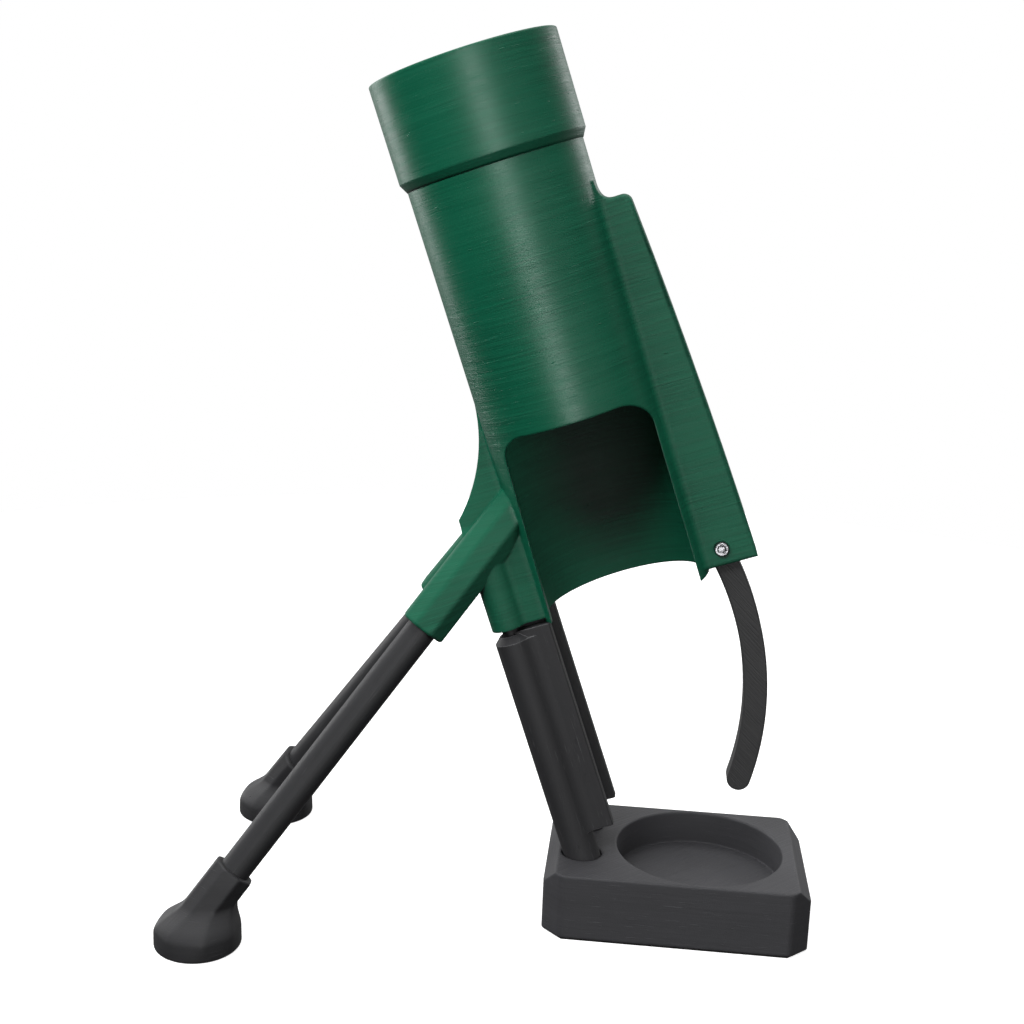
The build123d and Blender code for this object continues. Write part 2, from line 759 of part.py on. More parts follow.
with BuildPart() as pivot_sleeve:
    with BuildSketch(pivot_plane(-channel_half_width + slip)):
        Circle(sleeve_radius)
        Circle(m4_radius + screw_clearance, mode=Mode.SUBTRACT)
    extrude(amount=2 * (channel_half_width - slip))
finish(pivot_sleeve, "pivot_sleeve")

with BuildPart() as pivot_washers:
    washer_seat = handle_half_thickness + slip
    for direction in (1, -1):
        with BuildSketch(pivot_plane(direction * washer_seat)):
            Circle(washer_radius)
            Circle(sleeve_radius + running_clearance, mode=Mode.SUBTRACT)
        extrude(amount=direction * washer_thickness)
finish(pivot_washers, "pivot_washers")

# ---------------------------------------------------------------- return spring
spring_start = barrel_radius + spring_gap + spring_wire_radius
spring_length = arm_inner(spring_height) - spring_gap - spring_wire_radius - spring_start
with BuildPart() as return_spring:
    with BuildLine() as coil:
        Helix(
            pitch=spring_length / spring_turns,
            height=spring_length,
            radius=spring_radius,
            center=barrel_point(spring_start, 0, spring_height),
            direction=across,
        )
    with BuildSketch(Plane(origin=coil.line @ 0, z_dir=coil.line % 0)):
        Circle(spring_wire_radius)
    sweep(path=coil.line, is_frenet=True)
finish(return_spring, "return_spring")
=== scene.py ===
from math import cos, pi, radians, sin

import bmesh
import bpy
from mathutils import Matrix, Vector


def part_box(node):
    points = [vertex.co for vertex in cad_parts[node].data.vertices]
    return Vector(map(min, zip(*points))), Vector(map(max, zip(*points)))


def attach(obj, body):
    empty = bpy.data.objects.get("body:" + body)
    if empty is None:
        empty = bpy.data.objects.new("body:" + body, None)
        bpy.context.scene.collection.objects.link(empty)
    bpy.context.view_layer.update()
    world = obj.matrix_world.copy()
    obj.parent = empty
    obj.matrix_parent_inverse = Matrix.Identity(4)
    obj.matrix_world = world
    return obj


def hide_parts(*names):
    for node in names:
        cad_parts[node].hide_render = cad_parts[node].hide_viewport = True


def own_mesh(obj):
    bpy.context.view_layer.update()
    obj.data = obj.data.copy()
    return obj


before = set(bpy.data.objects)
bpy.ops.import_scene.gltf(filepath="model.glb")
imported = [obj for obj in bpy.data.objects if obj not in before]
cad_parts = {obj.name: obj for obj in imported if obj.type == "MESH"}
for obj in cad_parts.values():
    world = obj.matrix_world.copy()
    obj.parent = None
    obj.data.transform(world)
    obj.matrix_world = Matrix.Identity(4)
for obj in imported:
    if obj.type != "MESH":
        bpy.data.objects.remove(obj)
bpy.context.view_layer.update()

# ---------------------------------------------------------------- names and sizes, in metres
UPRIGHT_NODES = ("foot_near", "foot_far")                    # printed standing on their skirts
FLAT_NODES = ("release_lever", "gate_finger")                # printed lying on their sides
POST_NODES = ("post_near", "post_far")
ROD_NODES = ("leg_rod_near", "leg_rod_far")
STEEL_NODES = ("pivot_screw", "pivot_nut", "pivot_sleeve", "pivot_washers", "gate_screw", "base_screws")

TILT = radians(19.4)                  # how far the barrel leans back
ROD_PRINT_TILT = radians(55)          # lean of the rods' printing direction, about square to the rods
LAYER = 0.0003                        # height of one printed layer
UP = Vector((0, 0, 1))
ACROSS = Vector((cos(TILT), 0, sin(TILT)))
ALONG = Vector((-sin(TILT), 0, cos(TILT)))

# The barrel's walls, from its axis, which crosses the ACROSS direction at TUBE_REACH
BORE_RADIUS = 0.0405
BARREL_RADIUS = 0.0435
collar_reach = [vertex.co.dot(ACROSS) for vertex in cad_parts["muzzle_collar"].data.vertices]
TUBE_REACH = (min(collar_reach) + max(collar_reach)) / 2

# Camera, placed where the photograph was taken from
CAMERA_PLACE = Vector((0.06515, -0.72521, 0.37960))
CAMERA_YAW = 0.105
CAMERA_PITCH = -0.233
CAMERA_ROLL = 0.033
CAMERA_LENS = 52.69                   # millimetres, on a sensor of CAMERA_SENSOR
CAMERA_SENSOR = 36
CAMERA_SHIFT = 0.0246

# Bipod feet: a round skirt that flows into an octagonal sleeve round the rod
FOOT_RADIUS = 0.0213
FOOT_WALL_TOP = 0.0078
FOOT_LOWER_ROUND = 0.0016
FOOT_PIVOT_HEIGHT = 0.0132            # level at which the rod's axis meets the skirt's
FOOT_NECK_TOP = 0.0218                # level at which the neck has become the sleeve
FOOT_FACETING = 0.6                   # 0 for a round skirt top, 1 for an octagonal one
NECK_TENSION = 0.95                   # how long the neck keeps its direction at each end
NECK_STEPS = 28
OCTAGON_CORNER = 1.062                # radius at an octagon's cut corners, in half flats
SLEEVE_HALF_FLATS = 0.0103
SLEEVE_END = 0.0297                   # distance along the rod from the foot's pivot point
SLEEVE_LIP_ROUND = 0.0011
SLEEVE_LIP_WALL = 0.0002              # least wall left between the bore and the lip
SLEEVE_BORE = 0.00785
SLEEVE_BORE_DEPTH = 0.010
RING_POINTS = 96
ROUND_STEPS = 6                       # rings in a quarter-round edge

# Pivot screw
SCREW_HEAD_RADIUS = 0.0035
SCREW_HEAD_HEIGHT = 0.004
SCREW_SHAFT_RADIUS = 0.002
SCREW_TIP_RADIUS = 0.8 * SCREW_SHAFT_RADIUS
SCREW_KEY_HALF_FLATS = 0.0015
SCREW_KEY_DEPTH = 0.0022
SCREW_ROUND = 0.0006
SCREW_CHAMFER = 0.0001
KNURL_RIDGES = 24
KNURL_DEPTH = 0.00012
KNURL_MARGIN = 0.0002                 # plain rim at each end of the knurl
THREAD_START = 0.6                    # share of the screw's length
THREAD_PITCH = 0.0007
THREAD_ROOT = 0.84                    # radius in the thread's grooves, in shaft radii

# Return spring
SPRING_WIRE_RADIUS = 0.00025
SPRING_TURNS = 3
SPRING_TURN_STEPS = 24
SPRING_WIRE_POINTS = 10
SPRING_SLACK = 0.0003                 # extra radius that lets the coil clear the peg as it tilts

# Noise in the printed plastic: cycles per metre along each axis, Z up the layers, then detail and roughness
PRINT_NOISE = {
    "fine": ((20, 20, 0.24 / LAYER), 3.0, 0.65),     # single layer lines
    "bands": ((5, 5, 330), 4.0, 0.6),                # groups of like layers
    "scuffs": ((70, 70, 1500), 2.0, 0.6),            # short pale streaks
    "cloud": ((28, 28, 28), 3.0, 0.6),               # slow change of tone
    "speckle": ((1500, 1500, 1500), 2.0, 0.6),       # grain of the plastic itself
    "patch": ((16, 16, 22), 2.0, 0.5),               # where the lines show more or less
    "blobs": ((160, 160, 700), 1.0, 0.5),            # spots where the nozzle paused
}
RASTER_NOISE = ((1300, 24, 24), 2.0, 0.5)            # the nozzle's strokes on faces that lie flat
RASTER_ANGLE = radians(45)
PRINT_BUMP = (0.6, 0.00017)           # strength and height
STREAK_RELIEF = 1.0
BLOB_RELIEF = 2.5
RASTER_RELIEF = 0.8
# Radius over which edges take the painted highlight
EDGE_HIGHLIGHT_RADIUS = 0.0007
DULL_BORE = 0.40                      # roughness added inside the barrel
DULL_OUTSIDE = 0.28                   # roughness added on what stands out from the barrel

# Ranges of values that a mask or a tone is spread over
WIDE = (0.3, 0.7)
NARROW = (0.35, 0.65)
EDGE_TURN = (0.995, 0.90)             # cosine of a normal's turn when edges are rounded: none, full
WALL_SLOPE = (0.75, 0.95)             # cosine from normal to printing direction: wall, flat face

BEVEL_SAMPLES = 6
MIX_COLOUR_INPUTS = (6, 7)            # the colour sockets of Blender's Mix node
MIX_COLOUR_OUTPUT = 2

FLOOR_RADIUS = 0.95
FLOOR_SHADE = 0.6
FLOOR_GLOW = 0.82
FILL_FRONT = 0.04                     # strength of the surrounding light by direction
FILL_BACK = 0.65
FILL_BELOW = 0.3


# ---------------------------------------------------------------- node helpers
def new_material(name):
    """An empty node material and its node tree."""
    material = bpy.data.materials.new(name)
    material.use_nodes = True
    tree = material.node_tree
    tree.nodes.clear()
    return material, tree


def add_node(tree, kind, **settings):
    """A node with its properties and unlinked inputs set by name."""
    node = tree.nodes.new(kind)
    for key, value in settings.items():
        if hasattr(node, key):
            setattr(node, key, value)
        else:
            node.inputs[key.replace("_", " ")].default_value = value
    return node


def math_node(tree, operation, first, second):
    """A maths node on two values, each a socket or a number."""
    node = tree.nodes.new("ShaderNodeMath")
    node.operation = operation
    for socket, value in zip(node.inputs, (first, second)):
        if isinstance(value, (int, float)):
            socket.default_value = value
        else:
            tree.links.new(value, socket)
    return node.outputs[0]


def ramp(tree, value, low, high, low_out=0.0, high_out=1.0):
    """Maps a value from one range to another, clamped."""
    node = add_node(tree, "ShaderNodeMapRange")
    tree.links.new(value, node.inputs["Value"])
    node.inputs["From Min"].default_value = low
    node.inputs["From Max"].default_value = high
    node.inputs["To Min"].default_value = low_out
    node.inputs["To Max"].default_value = high_out
    return node.outputs["Result"]


def mix_colour(tree, factor, first, second):
    """A mix of two colours, each a socket or an RGB triple."""
    node = tree.nodes.new("ShaderNodeMix")
    node.data_type = "RGBA"
    tree.links.new(factor, node.inputs["Factor"])
    for index, value in zip(MIX_COLOUR_INPUTS, (first, second)):
        if isinstance(value, tuple):
            node.inputs[index].default_value = (*value, 1.0)
        else:
            tree.links.new(value, node.inputs[index])
    return node.outputs[MIX_COLOUR_OUTPUT]


def turned(tree, vector, rotation):
    """Coordinates turned by an angle about each axis."""
    turn = add_node(tree, "ShaderNodeMapping", Rotation=rotation)
    tree.links.new(vector, turn.inputs["Vector"])
    return turn.outputs["Vector"]


def turned_coordinates(tree, rotation):
    """The frame's coordinates, turned so that a part's printing direction becomes local Z."""
    place = add_node(tree, "ShaderNodeTexCoord")
    return turned(tree, place.outputs["Object"], rotation)


def stretched_noise(tree, vector, scale, detail=2.0, roughness=0.5):
    """Noise whose grain has its own frequency along each axis, in cycles per metre."""
    stretch = add_node(tree, "ShaderNodeMapping", Scale=scale)
    tree.links.new(vector, stretch.inputs["Vector"])
    noise = add_node(tree, "ShaderNodeTexNoise", Scale=1.0, Detail=detail, Roughness=roughness)
    tree.links.new(stretch.outputs["Vector"], noise.inputs["Vector"])
    return noise.outputs["Fac"]


def rounded_normal(tree, radius):
    """The surface normal, with sharp edges rounded over a radius."""
    return add_node(tree, "ShaderNodeBevel", samples=BEVEL_SAMPLES, Radius=radius).outputs["Normal"]


def edge_mask(tree, radius):
    """Near 1 along sharp convex and concave edges, 0 on open faces."""
    geometry = add_node(tree, "ShaderNodeNewGeometry")
    dot = add_node(tree, "ShaderNodeVectorMath", operation="DOT_PRODUCT")
    tree.links.new(rounded_normal(tree, radius), dot.inputs[0])
    tree.links.new(geometry.outputs["Normal"], dot.inputs[1])
    return ramp(tree, dot.outputs["Value"], *EDGE_TURN)


def wall_mask(tree, axis):
    """1 on walls that the printed layers run round, 0 on faces that lie flat in a layer."""
    geometry = add_node(tree, "ShaderNodeNewGeometry")
    dot = add_node(tree, "ShaderNodeVectorMath", operation="DOT_PRODUCT")
    tree.links.new(geometry.outputs["Normal"], dot.inputs[0])
    dot.inputs[1].default_value = axis
    facing = math_node(tree, "ABSOLUTE", dot.outputs["Value"], 0.0)
    return ramp(tree, facing, *WALL_SLOPE, 1.0, 0.0)


def distance_from_tube(tree, vector):
    """Distance from the barrel's axis, for coordinates turned to the barrel."""
    parts = add_node(tree, "ShaderNodeSeparateXYZ")
    tree.links.new(vector, parts.inputs[0])
    reach = math_node(tree, "SUBTRACT", parts.outputs["X"], TUBE_REACH)
    side = parts.outputs["Y"]
    reach_squared = math_node(tree, "MULTIPLY", reach, reach)
    side_squared = math_node(tree, "MULTIPLY", side, side)
    return math_node(tree, "SQRT", math_node(tree, "ADD", reach_squared, side_squared), 0.0)


def weighted_sum(tree, terms):
    """The sum of some values, each times its weight."""
    total = 0.0
    for value, weight in terms:
        total = math_node(tree, "ADD", total, math_node(tree, "MULTIPLY", value, weight))
    return total


def bumped_normal(tree, height, strength, distance, base=None):
    """The surface normal, or a base normal, tilted by a height."""
    node = add_node(tree, "ShaderNodeBump", Strength=strength, Distance=distance)
    tree.links.new(height, node.inputs["Height"])
    if base is not None:
        tree.links.new(base, node.inputs["Normal"])
    return node.outputs["Normal"]


def add_surface(tree, tone, shine, normal, **settings):
    """The main shader, with its even values set by name, linked to the material's output."""
    shader = add_node(tree, "ShaderNodeBsdfPrincipled", **settings)
    tree.links.new(tone, shader.inputs["Base Color"])
    tree.links.new(shine, shader.inputs["Roughness"])
    tree.links.new(normal, shader.inputs["Normal"])
    output = add_node(tree, "ShaderNodeOutputMaterial")
    tree.links.new(shader.outputs["BSDF"], output.inputs["Surface"])


# ---------------------------------------------------------------- materials
def printed_plastic(name, rotation, colour, streak_colour, line_colour, edge_highlight_and_streak_colour, roughness,
                    lines, line_tone, grain, gloss, soft, painted_edge_highlight, dull_off_tube=False):
    """Fused-filament print: fine layer lines across local Z, uneven bands, small blobs, and edges made
    paler by a painted highlight.
    """
    material, tree = new_material(name)
    vector = turned_coordinates(tree, rotation)
    noise = {key: stretched_noise(tree, vector, *values) for key, values in PRINT_NOISE.items()}
    raster = stretched_noise(tree, turned(tree, vector, (0, 0, RASTER_ANGLE)), *RASTER_NOISE)

    # Layers show on walls, the nozzle's strokes on faces that lie flat in a layer
    layer_axis = Matrix.Rotation(-rotation[1], 3, "Y") @ Matrix.Rotation(-rotation[0], 3, "X") @ UP
    walls = wall_mask(tree, layer_axis)
    flats = math_node(tree, "SUBTRACT", 1.0, walls)
    patch = ramp(tree, noise["patch"], 0.40, 0.60, 0.45, 1.0)
    raster = math_node(tree, "MULTIPLY", ramp(tree, raster, *NARROW), flats)
    blobs = math_node(tree, "MULTIPLY", ramp(tree, noise["blobs"], 0.76, 0.80), walls)
    streaks = math_node(tree, "MULTIPLY", ramp(tree, noise["scuffs"], 0.64, 0.76), walls)
    streaks = math_node(tree, "MULTIPLY", streaks, patch)

    # Each coat is a mask, how much of it shows, and its colour
    coats = (
        (ramp(tree, noise["bands"], *WIDE), 0.5, streak_colour),
        (math_node(tree, "MULTIPLY", ramp(tree, noise["fine"], *NARROW), patch), line_tone, line_colour),
        (streaks, 0.4, edge_highlight_and_streak_colour),
        (raster, line_tone, line_colour),
        # Painted highlight: convex and concave edges turn towards the pale colour, which the pale streaks
        # also use
        (edge_mask(tree, EDGE_HIGHLIGHT_RADIUS), painted_edge_highlight, edge_highlight_and_streak_colour),
    )
    tone = mix_colour(tree, ramp(tree, noise["cloud"], *WIDE, 0.0, 0.45), colour, streak_colour)
    for mask, share, coat_colour in coats:
        tone = mix_colour(tree, math_node(tree, "MULTIPLY", mask, share), tone, coat_colour)

    shine = ramp(tree, noise["bands"], 0.25, 0.75, roughness - 0.05, roughness + 0.06)
    shine = math_node(tree, "ADD", shine, ramp(tree, noise["speckle"], *WIDE, -0.03, 0.03))
    if dull_off_tube:
        distance = distance_from_tube(tree, vector)
        inside = ramp(tree, distance, BORE_RADIUS + 0.0002, BORE_RADIUS + 0.0006, DULL_BORE, 0.0)
        beyond = ramp(tree, distance, BARREL_RADIUS + 0.0003, BARREL_RADIUS + 0.0030, 0.0, DULL_OUTSIDE)
        shine = math_node(tree, "ADD", shine, math_node(tree, "ADD", inside, beyond))

    height = weighted_sum(tree, (
        (math_node(tree, "MULTIPLY", noise["fine"], patch), lines),
        (noise["speckle"], grain),
        (streaks, STREAK_RELIEF),
        (blobs, BLOB_RELIEF),
        (raster, RASTER_RELIEF),
    ))
    normal = bumped_normal(tree, height, *PRINT_BUMP, base=rounded_normal(tree, soft))
    add_surface(tree, tone, shine, normal, Specular_IOR_Level=gloss)
    return material


def turned_metal(name, colour, roughness, scale):
    """Machined metal with fine turning marks and small handling marks."""
    material, tree = new_material(name)
    vector = turned_coordinates(tree, (0, 0, 0))
    marks = stretched_noise(tree, vector, scale, detail=4.0, roughness=0.7)
    smudge = stretched_noise(tree, vector, (260, 260, 260), detail=3.0)
    smudge_colour = tuple(0.72 * channel for channel in colour)
    tone = mix_colour(tree, ramp(tree, smudge, *NARROW), colour, smudge_colour)
    shine = ramp(tree, marks, *WIDE, roughness - 0.07, roughness + 0.1)
    normal = bumped_normal(tree, marks, 0.35, 0.00004)
    add_surface(tree, tone, shine, normal, Metallic=1.0)
    return material


def rubber_sheet(name):
    """Thin dark rubber with a fine pebbled skin and dusty patches."""
    material, tree = new_material(name)
    vector = turned_coordinates(tree, (0, 0, 0))
    pebbles = stretched_noise(tree, vector, (1400, 1400, 1400))
    dust = stretched_noise(tree, vector, (60, 60, 60), detail=4.0, roughness=0.7)
    clean_colour = (0.012, 0.012, 0.013)
    dusty_colour = (0.035, 0.034, 0.033)
    tone = mix_colour(tree, ramp(tree, dust, 0.45, 0.75), clean_colour, dusty_colour)
    shine = ramp(tree, dust, *WIDE, 0.7, 0.92)
    normal = bumped_normal(tree, pebbles, 0.5, 0.0001)
    add_surface(tree, tone, shine, normal, Specular_IOR_Level=0.3)
    return material


def assign(names, material):
    """Gives a material to CAD nodes."""
    for name in names:
        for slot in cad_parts[name].material_slots:
            slot.link = "OBJECT"
            slot.material = material


# Finishes of the prints: linear colours, roughness, relief of the layers (lines) and of the grain,
# how much the lines darken, gloss, the radius over which edges look rounded, and how strong the painted
# edge highlight is
green = dict(
    colour=(0.0038, 0.097, 0.050),
    streak_colour=(0.0055, 0.121, 0.064),
    line_colour=(0.0020, 0.056, 0.030),
    edge_highlight_and_streak_colour=(0.020, 0.170, 0.105),
    roughness=0.41,
    lines=2.6,
    grain=0.30,
    line_tone=0.60,
    gloss=0.5,
    soft=0.0014,
    painted_edge_highlight=0.45,
)
black = dict(
    colour=(0.034, 0.034, 0.035),
    streak_colour=(0.043, 0.043, 0.044),
    line_colour=(0.023, 0.023, 0.024),
    edge_highlight_and_streak_colour=(0.100, 0.100, 0.105),
    roughness=0.58,
    lines=0.6,
    grain=0.4,
    line_tone=0.30,
    gloss=0.4,
    soft=0.0007,
    painted_edge_highlight=0.55,
)
dark = dict(
    black,
    colour=(0.027, 0.027, 0.029),
    streak_colour=(0.034, 0.034, 0.036),
    line_colour=(0.019, 0.019, 0.020),
    lines=0.5,
    grain=0.5,
)
# The posts' flange edges carry a stronger painted highlight, in a paler colour
post = dict(dark, grain=0.4, edge_highlight_and_streak_colour=(0.150, 0.150, 0.155), painted_edge_highlight=0.95)
rod = dict(dark, lines=0.35)
grey = dict(
    black,
    colour=(0.046, 0.046, 0.050),
    streak_colour=(0.057, 0.057, 0.062),
    line_colour=(0.033, 0.033, 0.036),
    edge_highlight_and_streak_colour=(0.110, 0.110, 0.120),
    lines=0.5,
    grain=0.5,
    soft=0.0018,
    painted_edge_highlight=0.25,
)

# Turns that bring each print's building direction to local Z
UPRIGHT = (0, 0, 0)
ON_SIDE = (pi / 2, 0, 0)
LEANING = (0, TILT, 0)
LEANING_ON_SIDE = (0, TILT + pi / 2, 0)
ROD_ON_SIDE = (0, ROD_PRINT_TILT, 0)

assign(("launch_barrel",), printed_plastic("green_print_barrel", LEANING, dull_off_tube=True, **green))
assign(("muzzle_collar",), printed_plastic("green_print_collar", LEANING, **green))
assign(("base_block",), printed_plastic("black_print_base", UPRIGHT, **grey))
assign(UPRIGHT_NODES, printed_plastic("black_print_foot", UPRIGHT, **dark))
assign(FLAT_NODES, printed_plastic("black_print_flat", ON_SIDE, **black))
assign(POST_NODES, printed_plastic("black_print_post", LEANING_ON_SIDE, **post))
assign(("post_studs",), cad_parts["post_near"].material_slots[0].material)
assign(ROD_NODES, printed_plastic("black_print_rod", ROD_ON_SIDE, **rod))
assign(STEEL_NODES, turned_metal("steel", (0.55, 0.55, 0.57), 0.42, (400, 400, 1800)))
assign(("return_spring",), turned_metal("spring_steel", (0.45, 0.45, 0.48), 0.3, (900, 900, 900)))
assign(("post_inserts",), turned_metal("brass", (0.72, 0.52, 0.22), 0.3, (500, 500, 1500)))
assign(("base_pad",), rubber_sheet("rubber"))


# ---------------------------------------------------------------- pieces built as meshes
def ring(centre, first, second, radius_at):
    """Points round a centre; radius_at gives the radius at each angle."""
    points = []
    for index in range(RING_POINTS):
        angle = 2 * pi * index / RING_POINTS
        points.append(centre + radius_at(angle) * (cos(angle) * first + sin(angle) * second))
    return points


def skin(name, rings, material, body, node):
    """A closed piece skinned over rings, capped at both ends, that stands for a CAD node."""
    mesh = bpy.data.meshes.new(name)
    points = [point for one_ring in rings for point in one_ring]
    count = len(rings[0])
    faces = []
    for level in range(len(rings) - 1):
        for index in range(count):
            following = (index + 1) % count
            low, high = level * count, (level + 1) * count
            faces.append((low + index, low + following, high + following, high + index))
    faces.append(tuple(reversed(range(count))))
    faces.append(tuple(range((len(rings) - 1) * count, len(rings) * count)))
    mesh.from_pydata(points, [], faces)
    shape = bmesh.new()
    shape.from_mesh(mesh)
    bmesh.ops.recalc_face_normals(shape, faces=shape.faces)
    shape.to_mesh(mesh)
    shape.free()
    mesh.shade_smooth()
    mesh.set_sharp_from_angle(angle=radians(50))
    mesh.materials.append(material)
    piece = bpy.data.objects.new(name, mesh)
    bpy.context.scene.collection.objects.link(piece)
    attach(piece, body)
    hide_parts(node)
    return piece


def octagon_radius(half_flats):
    """Radius of an octagon with slightly rounded corners, flats across the first axis."""
    def at(angle):
        from_flat = (angle + pi / 8) % (pi / 4) - pi / 8
        return min(half_flats / cos(from_flat), half_flats * OCTAGON_CORNER)
    return at


def rod_direction(node):
    """Unit vector up a straight rod's axis."""
    points = [vertex.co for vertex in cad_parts[node].data.vertices]
    lowest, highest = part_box(node)
    middle = (lowest.z + highest.z) / 2
    upper = [point for point in points if point.z > middle]
    lower = [point for point in points if point.z <= middle]
    difference = sum(upper, Vector()) / len(upper) - sum(lower, Vector()) / len(lower)
    return difference.normalized()


def make_foot(side_name, side):
    """Foot with a skirt, a hollow waist and an octagonal sleeve, as one smooth skin."""
    lowest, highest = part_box("foot_" + side_name)
    centre_y = highest.y - FOOT_RADIUS if side > 0 else lowest.y + FOOT_RADIUS
    centre = Vector((lowest.x + FOOT_RADIUS, centre_y, 0))
    axis = rod_direction("leg_rod_" + side_name)
    sideways = Vector((0, side, 0))
    sleeve_first = (sideways - axis * sideways.dot(axis)).normalized()
    sleeve_second = axis.cross(sleeve_first)
    pivot = centre + UP * FOOT_PIVOT_HEIGHT
    octagon = octagon_radius(SLEEVE_HALF_FLATS)
    rings = []

    flat_first = sideways
    flat_second = UP.cross(sideways)
    for step in range(ROUND_STEPS + 1):
        angle = pi / 2 * step / ROUND_STEPS
        radius = FOOT_RADIUS - FOOT_LOWER_ROUND * (1 - sin(angle))
        height = FOOT_LOWER_ROUND * (1 - cos(angle))
        rings.append(ring(centre + UP * height, flat_first, flat_second, lambda a, r=radius: r))

    # Each line of the neck is a Hermite curve, vertical at the skirt and along the rod at the sleeve
    facet = octagon_radius(FOOT_RADIUS / OCTAGON_CORNER)
    skirt = ring(centre + UP * FOOT_WALL_TOP, flat_first, flat_second,
                 lambda a: FOOT_RADIUS + FOOT_FACETING * (facet(a) - FOOT_RADIUS))
    sleeve = ring(pivot, sleeve_first, sleeve_second, octagon)
    sleeve = [point + axis * ((FOOT_NECK_TOP - point.z) / axis.z) for point in sleeve]
    for step in range(NECK_STEPS + 1):
        t = step / NECK_STEPS
        neck = []
        for low, high in zip(skirt, sleeve):
            pull = (high - low).length * NECK_TENSION
            place = (2 * t**3 - 3 * t**2 + 1) * low + (t**3 - 2 * t**2 + t) * pull * UP
            neck.append(place + (3 * t**2 - 2 * t**3) * high + (t**3 - t**2) * pull * axis)
        rings.append(neck)

    lip_start = SLEEVE_END - SLEEVE_LIP_ROUND
    lip = ring(pivot + axis * lip_start, sleeve_first, sleeve_second, octagon)
    rings.append([low.lerp(high, 0.5) for low, high in zip(sleeve, lip)])
    rings.append(lip)
    for step in range(1, ROUND_STEPS + 1):
        angle = pi / 2 * step / ROUND_STEPS
        inset = SLEEVE_LIP_ROUND * (1 - cos(angle))
        distance = lip_start + SLEEVE_LIP_ROUND * sin(angle)
        rings.append(ring(pivot + axis * distance, sleeve_first, sleeve_second,
                          lambda a, inset=inset: max(octagon(a) - inset, SLEEVE_BORE + SLEEVE_LIP_WALL)))
    for distance, radius in ((SLEEVE_END, SLEEVE_BORE), (SLEEVE_END - SLEEVE_BORE_DEPTH, SLEEVE_BORE)):
        rings.append(ring(pivot + axis * distance, sleeve_first, sleeve_second, lambda a, r=radius: r))
    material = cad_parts["foot_" + side_name].material_slots[0].material
    skin("shaped_foot_" + side_name, rings, material, "frame", "foot_" + side_name)


def make_pivot_screw():
    """Socket-head screw with a knurled head, a hexagonal key recess and a threaded tip."""
    lowest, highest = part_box("pivot_screw")
    middle = (lowest + highest) / 2
    out = Vector((0, -1, 0))
    first = ACROSS
    second = out.cross(first)
    crown = Vector((middle.x, lowest.y, middle.z))
    length = highest.y - lowest.y

    def place(depth):
        return crown - out * depth

    def hexagon(angle):
        from_flat = (angle + pi / 6) % (pi / 3) - pi / 6
        return SCREW_KEY_HALF_FLATS / cos(from_flat)

    def knurl(angle):
        return SCREW_HEAD_RADIUS - KNURL_DEPTH / 2 * (1 + cos(KNURL_RIDGES * angle))

    rings = [ring(place(SCREW_KEY_DEPTH), first, second, hexagon),
             ring(place(SCREW_CHAMFER), first, second, hexagon),
             ring(place(0), first, second, lambda a: hexagon(a) + SCREW_CHAMFER)]
    for step in range(ROUND_STEPS + 1):
        angle = pi / 2 * step / ROUND_STEPS
        inset = SCREW_ROUND * (1 - sin(angle))
        rings.append(ring(place(SCREW_ROUND * (1 - cos(angle))), first, second,
                          lambda a, inset=inset: SCREW_HEAD_RADIUS - inset))
    rings.append(ring(place(SCREW_ROUND + KNURL_MARGIN), first, second, knurl))
    rings.append(ring(place(SCREW_HEAD_HEIGHT - KNURL_MARGIN), first, second, knurl))
    rings.append(ring(place(SCREW_HEAD_HEIGHT), first, second, lambda a: SCREW_HEAD_RADIUS - SCREW_CHAMFER))
    rings.append(ring(place(SCREW_HEAD_HEIGHT), first, second, lambda a: SCREW_SHAFT_RADIUS))
    depth = length * THREAD_START
    rings.append(ring(place(depth), first, second, lambda a: SCREW_SHAFT_RADIUS))
    while depth < length - THREAD_PITCH:
        groove = place(depth + THREAD_PITCH / 2)
        rings.append(ring(groove, first, second, lambda a: SCREW_SHAFT_RADIUS * THREAD_ROOT))
        rings.append(ring(place(depth + THREAD_PITCH), first, second, lambda a: SCREW_SHAFT_RADIUS))
        depth += THREAD_PITCH
    rings.append(ring(place(length), first, second, lambda a: SCREW_TIP_RADIUS))
    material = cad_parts["pivot_screw"].material_slots[0].material
    skin("pivot_cap_screw", rings, material, "frame", "pivot_screw")


def make_spring():
    """Coil between the barrel and the lever's arm, built at one length."""
    points = [vertex.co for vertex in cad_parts["return_spring"].data.vertices]
    reaches = [point.dot(ACROSS) for point in points]
    heights = [point.dot(ALONG) for point in points]
    start = min(reaches) + SPRING_WIRE_RADIUS
    length = max(reaches) - SPRING_WIRE_RADIUS - start
    centre = ALONG * (min(heights) + max(heights)) / 2
    radius = max(point.y for point in points) - SPRING_WIRE_RADIUS + SPRING_SLACK
    side = Vector((0, 1, 0))
    rings = []
    steps = SPRING_TURNS * SPRING_TURN_STEPS
    for step in range(steps + 1):
        turn = 2 * pi * step / SPRING_TURN_STEPS
        outward = side * cos(turn) + ALONG * sin(turn)
        middle = centre + ACROSS * (start + length * step / steps) + outward * radius
        wire = []
        for index in range(SPRING_WIRE_POINTS):
            angle = 2 * pi * index / SPRING_WIRE_POINTS
            wire.append(middle + SPRING_WIRE_RADIUS * (outward * cos(angle) + ACROSS * sin(angle)))
        rings.append(wire)
    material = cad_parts["return_spring"].material_slots[0].material
    coil = skin("coiled_spring", rings, material, "frame", "return_spring")
    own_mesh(coil)


for side_name, side in (("near", -1), ("far", 1)):
    make_foot(side_name, side)
make_pivot_screw()
make_spring()


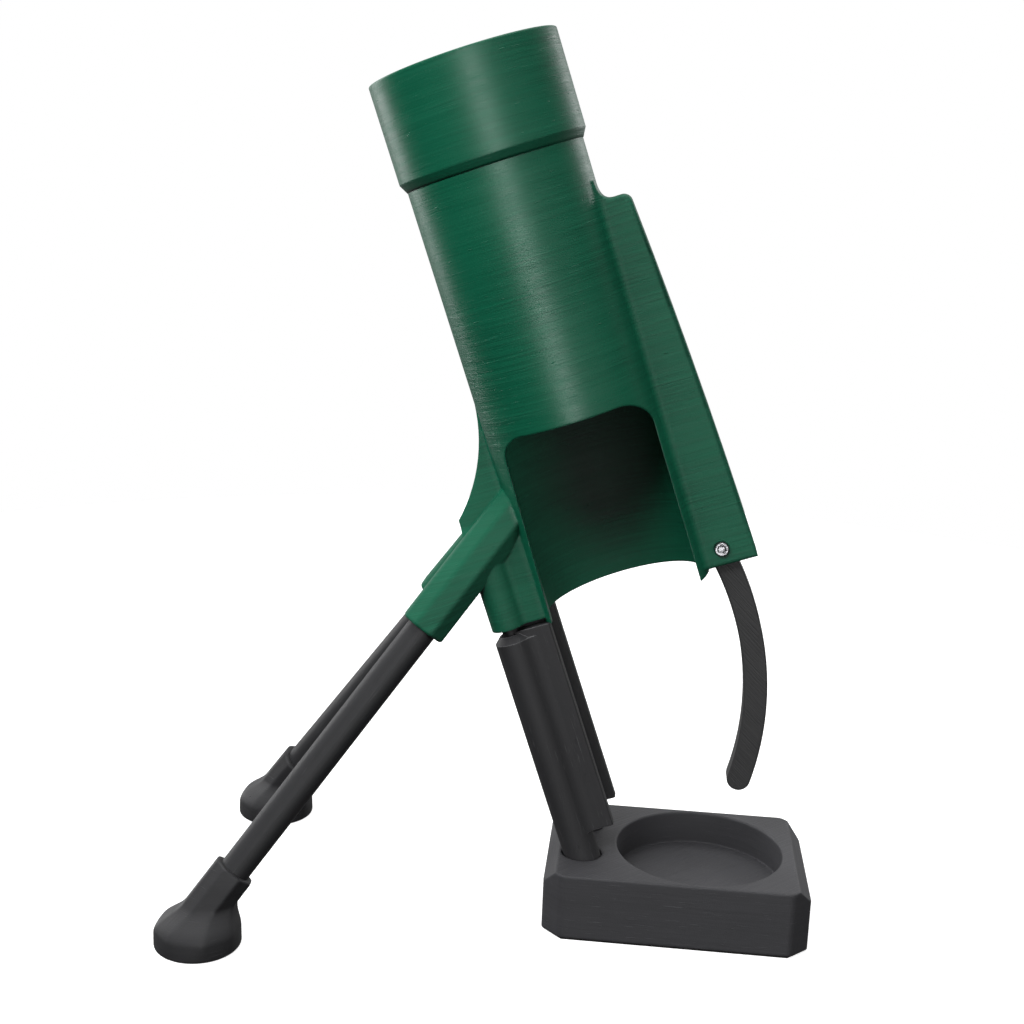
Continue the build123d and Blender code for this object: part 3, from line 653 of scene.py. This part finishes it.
# ---------------------------------------------------------------- floor, light and camera
def make_floor():
    """A pale round table top that lights nothing itself but takes the object's shadow."""
    material, tree = new_material("floor")
    shader = add_node(tree, "ShaderNodeBsdfPrincipled", Roughness=0.9)
    shader.inputs["Base Color"].default_value = (FLOOR_SHADE, FLOOR_SHADE, FLOOR_SHADE, 1)
    shader.inputs["Emission Color"].default_value = (1, 1, 1, 1)
    shader.inputs["Emission Strength"].default_value = FLOOR_GLOW
    shader.inputs["Specular IOR Level"].default_value = 0.1
    output = add_node(tree, "ShaderNodeOutputMaterial")
    tree.links.new(shader.outputs["BSDF"], output.inputs["Surface"])
    mesh = bpy.data.meshes.new("floor")
    rim = ring(Vector((0, 0, 0)), Vector((1, 0, 0)), Vector((0, 1, 0)), lambda a: FLOOR_RADIUS)
    mesh.from_pydata(rim, [], [tuple(range(RING_POINTS))])
    floor = bpy.data.objects.new("floor", mesh)
    floor.data.materials.append(material)
    floor.visible_diffuse = False
    floor.visible_glossy = False
    bpy.context.scene.collection.objects.link(floor)


def add_light(name, place, target, size, power, diffuse=True, glossy=True):
    """A soft box of some width and height, turned to a target, for faces, for highlights or for both."""
    data = bpy.data.lights.new(name, "AREA")
    data.shape = "RECTANGLE"
    data.size, data.size_y = size
    data.energy = power
    light = bpy.data.objects.new(name, data)
    light.location = place
    light.rotation_euler = (Vector(target) - Vector(place)).to_track_quat("-Z", "Y").to_euler()
    light.visible_diffuse = diffuse
    light.visible_glossy = glossy
    bpy.context.scene.collection.objects.link(light)


def make_world():
    """White to the camera. As light it is gentle: most from behind, little from the front and below."""
    world = bpy.data.worlds.new("studio")
    world.use_nodes = True
    bpy.context.scene.world = world
    tree = world.node_tree
    tree.nodes.clear()
    path = add_node(tree, "ShaderNodeLightPath")
    seen = add_node(tree, "ShaderNodeBackground", Color=(1, 1, 1, 1), Strength=1.0)
    fill = add_node(tree, "ShaderNodeBackground", Color=(1, 1, 1, 1))
    place = add_node(tree, "ShaderNodeTexCoord")
    parts = add_node(tree, "ShaderNodeSeparateXYZ")
    tree.links.new(place.outputs["Generated"], parts.inputs[0])
    behind = ramp(tree, parts.outputs["Y"], 0.1, 0.85, FILL_FRONT, FILL_BACK)
    above = ramp(tree, parts.outputs["Z"], -0.25, 0.1, FILL_BELOW, 1.0)
    tree.links.new(math_node(tree, "MULTIPLY", behind, above), fill.inputs["Strength"])
    mix = add_node(tree, "ShaderNodeMixShader")
    tree.links.new(path.outputs["Is Camera Ray"], mix.inputs[0])
    tree.links.new(fill.outputs[0], mix.inputs[1])
    tree.links.new(seen.outputs[0], mix.inputs[2])
    output = add_node(tree, "ShaderNodeOutputWorld")
    tree.links.new(mix.outputs[0], output.inputs["Surface"])


make_floor()
make_world()

# Each light's name, place, target, size and power in watts
add_light("front_strip", (0.24, -1.30, 0.35), (0, 0, 0.25), (0.20, 1.3), 9, diffuse=False)
add_light("left_strip", (-1.40, 0.85, 0.45), (0, 0, 0.25), (0.6, 1.3), 10)
add_light("key", (-0.5, -1.25, 1.35), (0, 0, 0.2), (0.5, 0.5), 17, glossy=False)
add_light("side", (-1.5, -1.0, 1.3), (0, 0, 0.2), (1.2, 1.2), 26, glossy=False)
add_light("right_fill", (1.3, -1.0, 0.5), (0, 0, 0.1), (0.8, 0.8), 6, glossy=False)
add_light("top", (0.0, 0.2, 2.2), (0, 0, 0), (2.2, 2.2), 36)
add_light("right_rim", (1.0, 1.4, 0.7), (0, 0, 0.2), (0.6, 0.6), 3)

camera_data = bpy.data.cameras.new("camera")
camera_data.lens = CAMERA_LENS
camera_data.sensor_width = CAMERA_SENSOR
camera_data.shift_x = CAMERA_SHIFT
camera_data.clip_start = 0.01
camera = bpy.data.objects.new("camera", camera_data)
turn = Matrix.Rotation(CAMERA_YAW, 4, "Z") @ Matrix.Rotation(pi / 2 + CAMERA_PITCH, 4, "X")
camera.matrix_world = Matrix.Translation(CAMERA_PLACE) @ turn @ Matrix.Rotation(CAMERA_ROLL, 4, "Z")
bpy.context.scene.collection.objects.link(camera)
bpy.context.scene.camera = camera
bpy.context.scene.view_settings.view_transform = "Standard"
